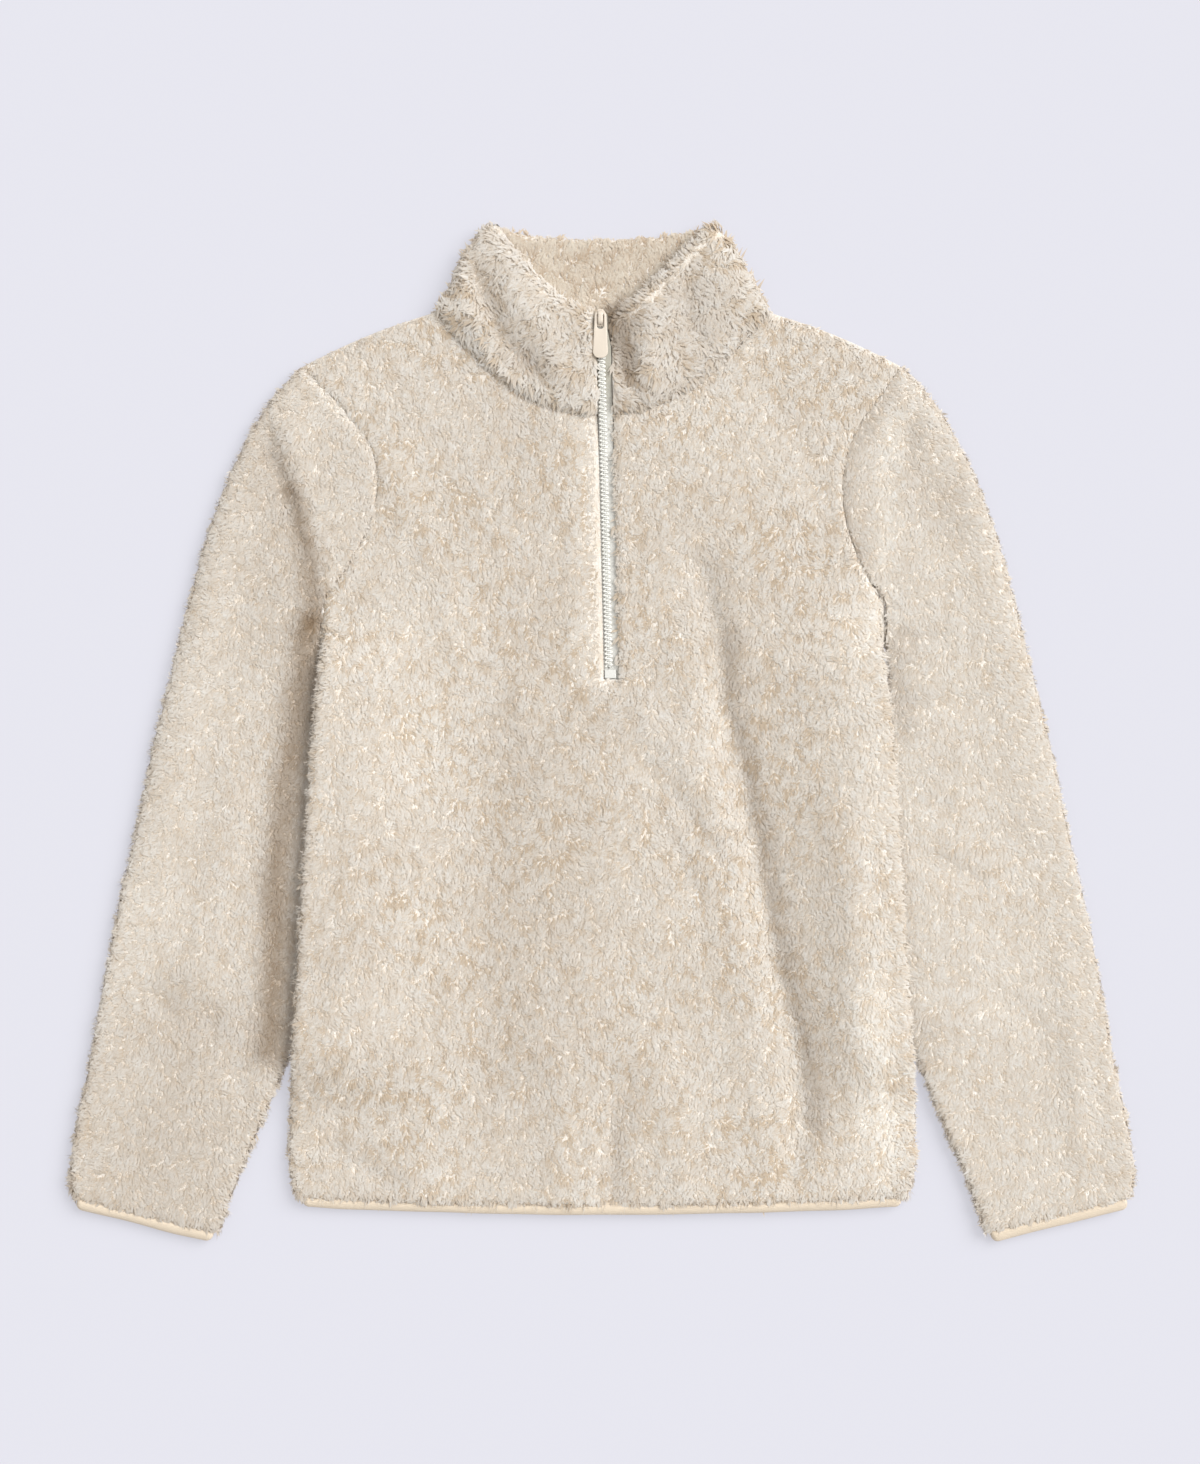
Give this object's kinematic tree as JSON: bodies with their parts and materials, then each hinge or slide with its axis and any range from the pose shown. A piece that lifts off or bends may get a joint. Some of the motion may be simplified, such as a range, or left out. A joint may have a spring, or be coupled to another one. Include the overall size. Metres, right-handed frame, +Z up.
{
  "type": "sherpa fleece half-zip pullover",
  "caption": "Cream sherpa fleece pullover laid flat: stand collar, half zip with a looped pull tab, long sleeves straight down, elastic-bound hem and cuffs.",
  "frame": {"origin": "middle of the footprint, on the surface that the pullover lies on", "axes": "+X across the body to the wearer's left sleeve, +Y up the body from the hem to the collar, +Z up out of the surface, the way the front faces"},
  "size_m": [0.7606, 0.7323, 0.0235],
  "materials": {
    "fleece": "deep curly sherpa pile, matt",
    "binding": "smooth folded elastic, matt",
    "zip_tape": "plain woven tape",
    "zip_coil": "satin",
    "zip_metal": "satin enamel",
    "zip_stop": "semi-gloss"
  },
  "bodies": {
    "garment": {"front_panel": "fleece", "back_panel": "fleece", "sleeve_left": "fleece", "sleeve_right": "fleece", "collar": "fleece", "hem_binding": "binding", "cuff_binding_left": "binding", "cuff_binding_right": "binding", "zip_tape_left": "zip_tape", "zip_tape_right": "zip_tape", "zip_coil": "zip_coil", "zip_slider": "zip_metal", "zip_stop": "zip_stop"},
    "zip_pull": {"zip_pull": "zip_metal"}
  },
  "joints": [
    {"name": "pull_hinge", "type": "hinge", "parent": "garment", "child": "zip_pull", "pos_m": [-0.0011, 0.2995, 0.0201], "axis": [-1, 0, 0], "range_deg": [0, 165]}
  ]
}
